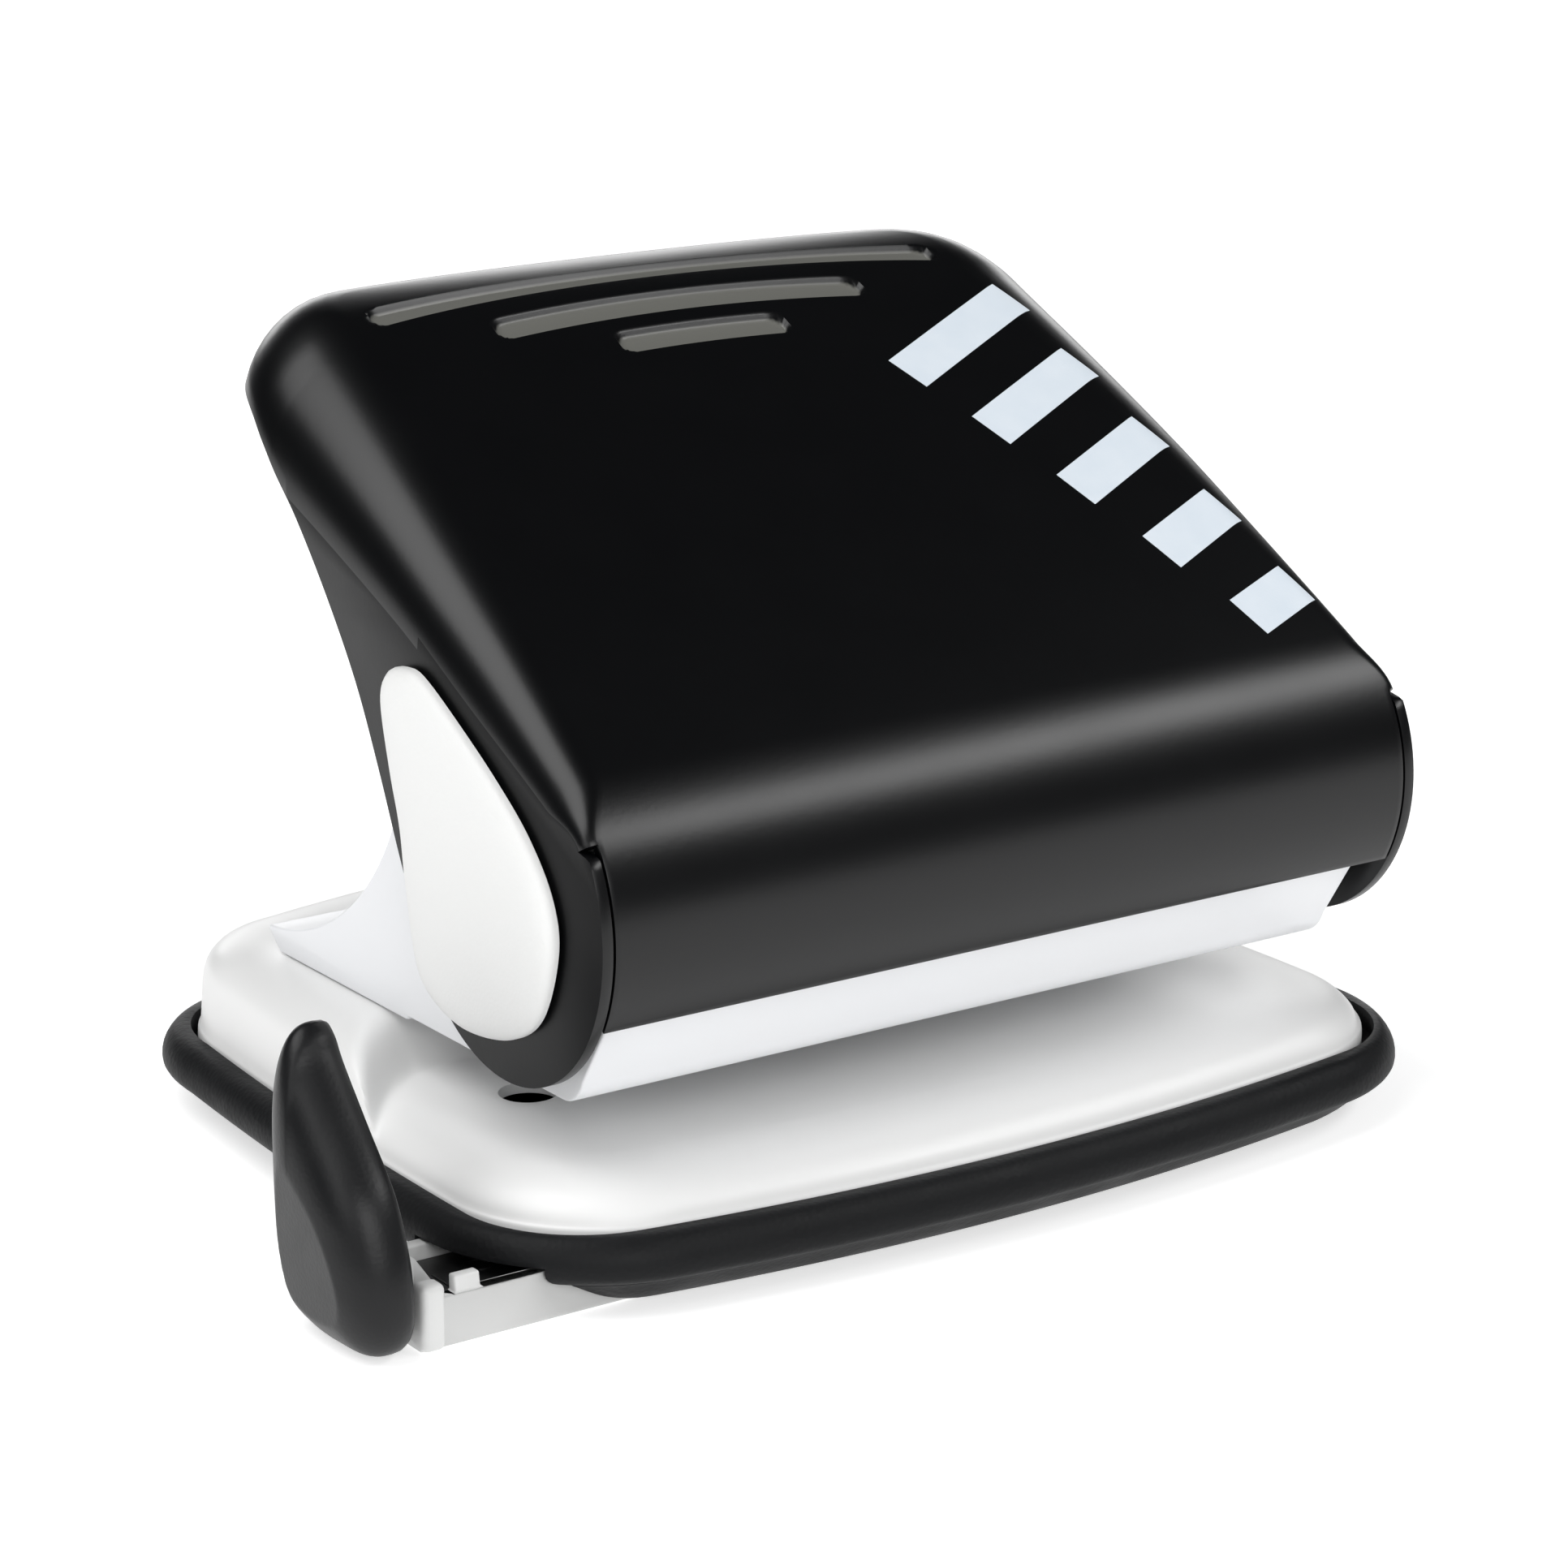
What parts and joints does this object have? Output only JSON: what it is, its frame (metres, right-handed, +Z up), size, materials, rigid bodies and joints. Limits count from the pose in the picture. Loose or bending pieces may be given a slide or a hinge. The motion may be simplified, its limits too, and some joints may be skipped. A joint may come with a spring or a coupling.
{
  "type": "hole punch",
  "caption": "Desk hole punch for binder paper: sprung lever handle on a pressed steel frame and base, lift-off chip tray and a paper guide rail that pulls out sideways.",
  "frame": {"origin": "on the ground under the middle of the chip tray", "axes": "+X to the right along the line of the holes, +Y from the paper mouth to the back, +Z up"},
  "size_m": [0.1378, 0.101, 0.0887],
  "materials": {
    "black_paint": "satin",
    "white_enamel": "gloss",
    "inlay_plastic": "matte",
    "rail_plastic": "satin",
    "tray_plastic": "matte",
    "stop_plastic": "satin",
    "steel": "brushed",
    "spring_steel": "polished"
  },
  "bodies": {
    "tray": {"chip_tray": "tray_plastic", "detent_leaf": "spring_steel"},
    "rail": {"guide_rail": "rail_plastic", "scale_strip": "stop_plastic", "end_stop": "stop_plastic"},
    "base": {"base_plate": "white_enamel", "punch_frame": "white_enamel", "pin_guide_bracket": "steel", "frame_rivet_1": "steel", "frame_rivet_2": "steel", "frame_rivet_3": "steel", "frame_rivet_4": "steel", "return_spring_left": "spring_steel", "return_spring_right": "spring_steel"},
    "handle": {"handle_shell": "black_paint", "press_plate": "steel", "pivot_axle": "steel", "side_inlay_left": "inlay_plastic", "side_inlay_right": "inlay_plastic", "axle_washer_left": "rail_plastic", "axle_washer_right": "rail_plastic"},
    "pin_left": {"punch_pin_left": "steel", "spring_collar_left": "steel"},
    "pin_right": {"punch_pin_right": "steel", "spring_collar_right": "steel"}
  },
  "joints": [
    {"name": "tray_release", "type": "slide", "parent": "tray", "child": "base", "axis": [0, 0, 1], "range_m": [0, 0.025]},
    {"name": "rail_slide", "type": "slide", "parent": "tray", "child": "rail", "axis": [-1, 0, 0], "range_m": [0, 0.08]},
    {"name": "handle_hinge", "type": "hinge", "parent": "base", "child": "handle", "pos_m": [0, -0.0275, 0.0383], "axis": [-1, 0, 0], "range_deg": [0, 30]},
    {"name": "pin_left_slide", "type": "slide", "parent": "base", "child": "pin_left", "axis": [0, 0, -1], "range_m": [0, 0.0075], "stiffness_N_per_m": 600, "springref_m": -0.006, "deforming": ["return_spring_left"]},
    {"name": "pin_right_slide", "type": "slide", "parent": "base", "child": "pin_right", "axis": [0, 0, -1], "range_m": [0, 0.0075], "stiffness_N_per_m": 600, "springref_m": -0.006, "deforming": ["return_spring_right"]}
  ],
  "couplings": [
    {"joint": "pin_left_slide", "follows": "handle_hinge", "m_per_rad": 0.014},
    {"joint": "pin_right_slide", "follows": "handle_hinge", "m_per_rad": 0.014}
  ]
}
